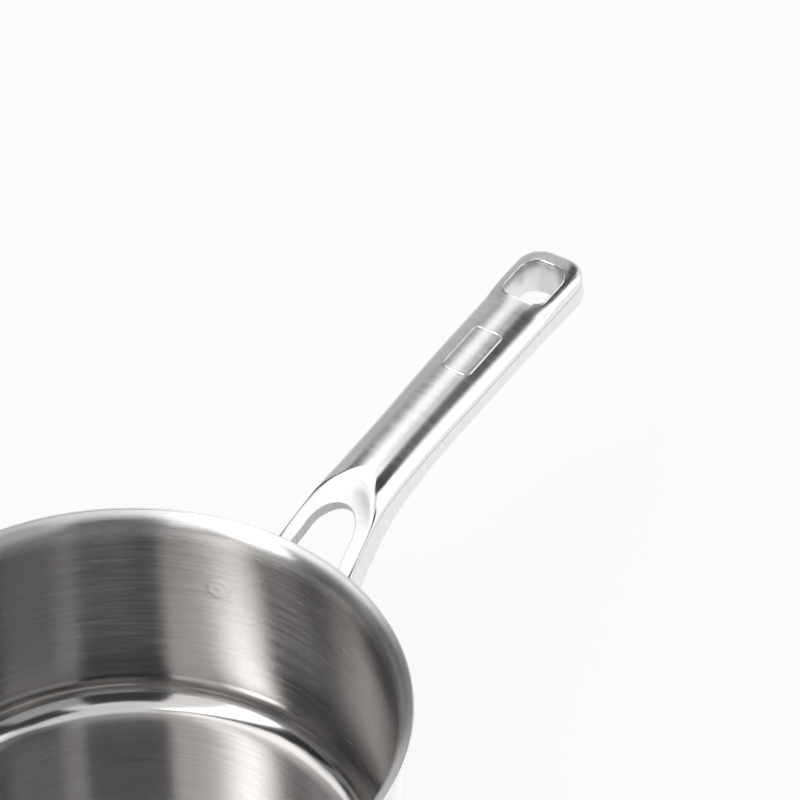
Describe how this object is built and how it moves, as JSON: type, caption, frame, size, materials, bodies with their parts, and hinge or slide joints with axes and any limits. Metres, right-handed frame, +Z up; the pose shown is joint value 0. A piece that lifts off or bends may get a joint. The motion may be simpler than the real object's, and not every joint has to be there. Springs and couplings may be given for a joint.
{
  "type": "saucepan",
  "caption": "Stainless steel saucepan with a flared pouring rim, a capped heat-spreading base and a forked hollow handle with a hanging eye.",
  "frame": {"origin": "centre of the underside of the base, on the pan's axis, where it stands on the table", "axes": "+Z up along the pan's axis, +X from the pan's axis out along the handle"},
  "size_m": [0.3961, 0.208, 0.11],
  "materials": {
    "brushed_pan_steel": "brushed round the pan, polished at the rim",
    "spreader_aluminium": "plain",
    "base_steel": "turned",
    "satin_steel": "satin",
    "brushed_handle_steel": "brushed across the grip, polished on the fork",
    "polished_steel": "polished"
  },
  "bodies": {
    "root": {"vessel": "brushed_pan_steel", "heat_spreader": "spreader_aluminium", "base_cap": "base_steel", "handle_saddle": "satin_steel", "handle_top": "brushed_handle_steel", "handle_underside": "satin_steel", "eye_liner": "polished_steel", "leg_welds": "satin_steel"}
  },
  "joints": []
}
